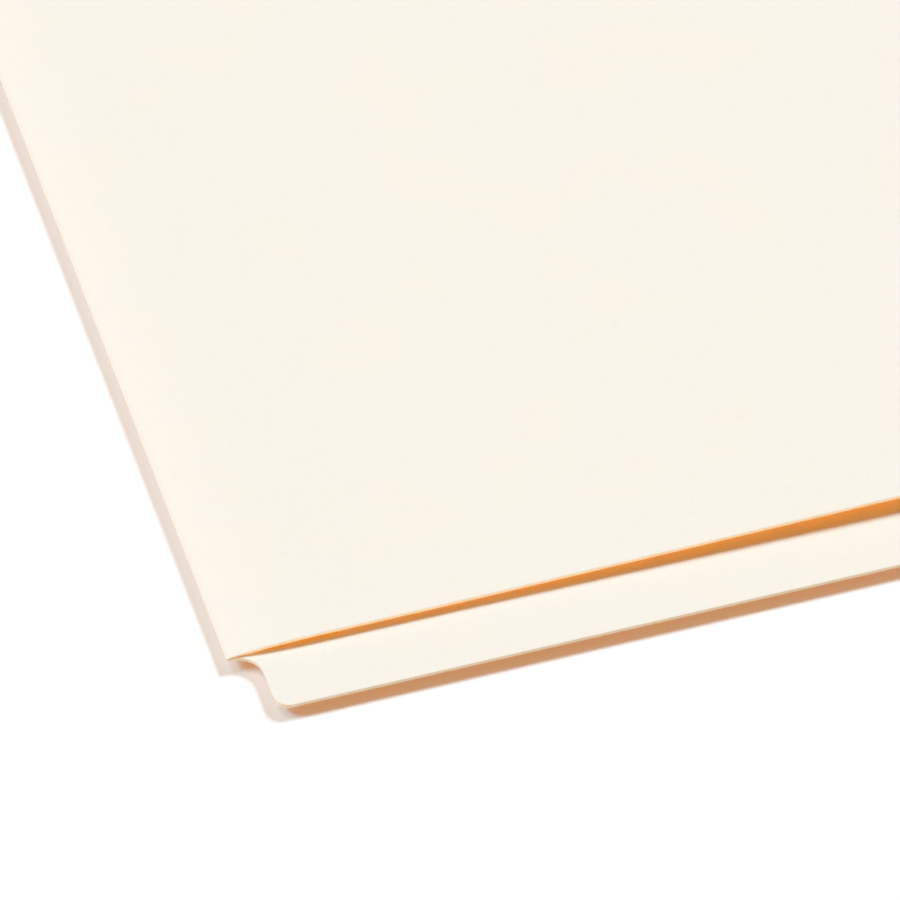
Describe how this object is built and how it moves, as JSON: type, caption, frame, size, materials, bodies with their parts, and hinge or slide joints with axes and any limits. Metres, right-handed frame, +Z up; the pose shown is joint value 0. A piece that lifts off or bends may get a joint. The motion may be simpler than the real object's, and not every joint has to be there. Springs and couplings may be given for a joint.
{
  "type": "file pocket",
  "caption": "Flat letter-size manila file pocket with a two-ply straight-cut end tab, folding side gussets and a folding bottom that let it open like a bellows.",
  "frame": {"origin": "under the middle of the pocket, on the surface it lies on", "axes": "+X to the tab end, +Y from the folded bottom (spine) to the open top (mouth), +Z up through the front panel"},
  "size_m": [0.3112, 0.2414, 0.003],
  "materials": {
    "manila_outside": "smooth uncoated manila card, pale cream, with fine fibres and a faint mottle",
    "manila_inside": "uncoated manila card, slightly warmer, matte",
    "dry_glue": "thin dried glue film between two sheets"
  },
  "bodies": {
    "back": {"back_panel": "manila_outside", "tab_ply": "manila_outside", "tab_glue": "dry_glue", "far_end_back_lap": "manila_inside", "far_end_back_glue": "dry_glue"},
    "bottom_back_strip": {"bottom_back": "manila_outside"},
    "bottom_front_strip": {"bottom_front": "manila_outside"},
    "front": {"front_panel": "manila_outside", "tab_end_front_lap": "manila_inside", "tab_end_front_glue": "dry_glue", "far_end_front_lap": "manila_inside", "far_end_front_glue": "dry_glue"},
    "tab_end_back_gusset": {"tab_end_gusset_back_half": "manila_inside"},
    "tab_end_front_gusset": {"tab_end_gusset_front_half": "manila_inside"},
    "far_end_back_gusset": {"far_end_gusset_back_half": "manila_inside"},
    "far_end_front_gusset": {"far_end_gusset_front_half": "manila_inside"}
  },
  "joints": [
    {"name": "bottom_back_fold", "type": "hinge", "parent": "back", "child": "bottom_back_strip", "pos_m": [0, -0.1016, 0.0003], "axis": [-1, 0, 0], "range_deg": [0, 85]},
    {"name": "spine_fold", "type": "hinge", "parent": "bottom_back_strip", "child": "bottom_front_strip", "pos_m": [0, -0.12065, 0.0003], "axis": [1, 0, 0], "range_deg": [0, 170]},
    {"name": "front_fold", "type": "hinge", "parent": "bottom_front_strip", "child": "front", "pos_m": [0, -0.1016, 0.00158], "axis": [-1, 0, 0], "range_deg": [0, 85]},
    {"name": "tab_end_back_fold", "type": "hinge", "parent": "back", "child": "tab_end_back_gusset", "pos_m": [0.13653, 0, 0.00064], "axis": [0, 1, 0], "range_deg": [0, 85]},
    {"name": "tab_end_front_fold", "type": "hinge", "parent": "front", "child": "tab_end_front_gusset", "pos_m": [0.13653, 0, 0.00124], "axis": [0, -1, 0], "range_deg": [0, 85]},
    {"name": "far_end_back_fold", "type": "hinge", "parent": "back", "child": "far_end_back_gusset", "pos_m": [-0.14922, 0, 0.00064], "axis": [0, -1, 0], "range_deg": [0, 85]},
    {"name": "far_end_front_fold", "type": "hinge", "parent": "front", "child": "far_end_front_gusset", "pos_m": [-0.14922, 0, 0.00124], "axis": [0, 1, 0], "range_deg": [0, 85]}
  ],
  "couplings": [
    {"joint": "spine_fold", "follows": "bottom_back_fold", "ratio": 2},
    {"joint": "front_fold", "follows": "bottom_back_fold", "ratio": 1},
    {"joint": "tab_end_back_fold", "follows": "bottom_back_fold", "ratio": 1},
    {"joint": "tab_end_front_fold", "follows": "bottom_back_fold", "ratio": 1},
    {"joint": "far_end_back_fold", "follows": "bottom_back_fold", "ratio": 1},
    {"joint": "far_end_front_fold", "follows": "bottom_back_fold", "ratio": 1}
  ]
}
